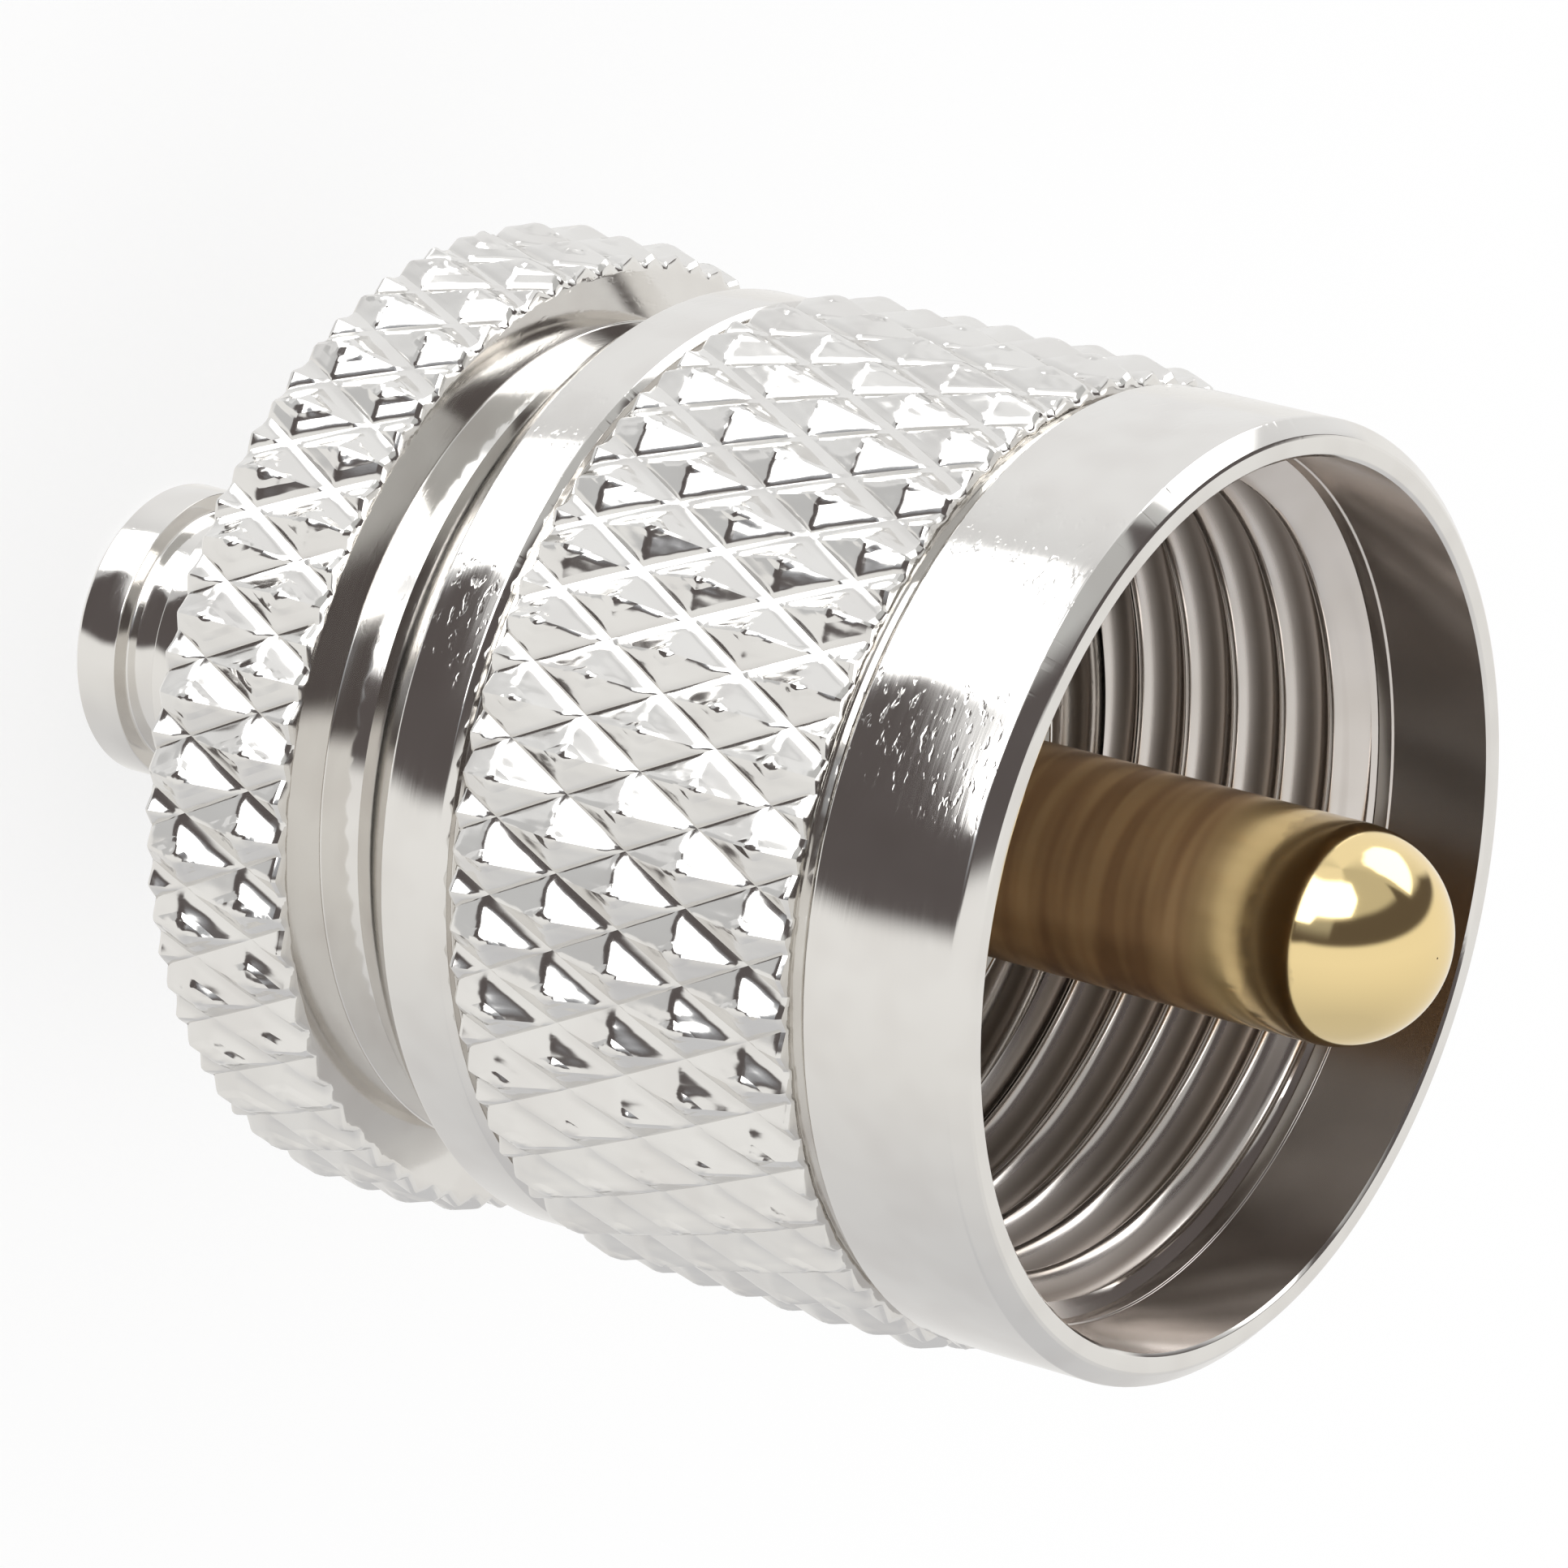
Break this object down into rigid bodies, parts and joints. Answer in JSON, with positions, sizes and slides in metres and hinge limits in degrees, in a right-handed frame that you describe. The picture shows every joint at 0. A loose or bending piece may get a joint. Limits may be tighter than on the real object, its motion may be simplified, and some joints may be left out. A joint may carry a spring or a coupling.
{
  "type": "uhf connector",
  "caption": "Round screw-on UHF coaxial cable plug with a diamond-knurled coupling nut, a knurled grip ring, a gold centre pin and a cable barrel.",
  "frame": {"origin": "centre of the cable barrel's rear end, on which the plug stands", "axes": "+Z along the plug's axis, towards the mating end; +X through a slot of the front shell"},
  "size_m": [0.0184, 0.0184, 0.0285],
  "materials": {
    "nickel": "bright nickel plating on turned and knurled brass, with fine scratches",
    "gold": "polished gold plating",
    "ptfe": "smooth white fluoropolymer",
    "spring_bronze": "drawn bronze wire"
  },
  "bodies": {
    "plug": {"connector_body": "nickel", "centre_pin": "gold", "front_insulator": "ptfe", "rear_insulator": "ptfe"},
    "retainer": {"retaining_ring": "spring_bronze"},
    "nut": {"coupling_nut": "nickel"}
  },
  "joints": [
    {"name": "nut_float", "type": "slide", "parent": "plug", "child": "retainer", "axis": [0, 0, 1], "range_m": [0, 0.0005]},
    {"name": "nut_spin", "type": "hinge", "parent": "retainer", "child": "nut", "pos_m": [0, 0, 0.012], "axis": [0, 0, 1], "continuous": true}
  ]
}
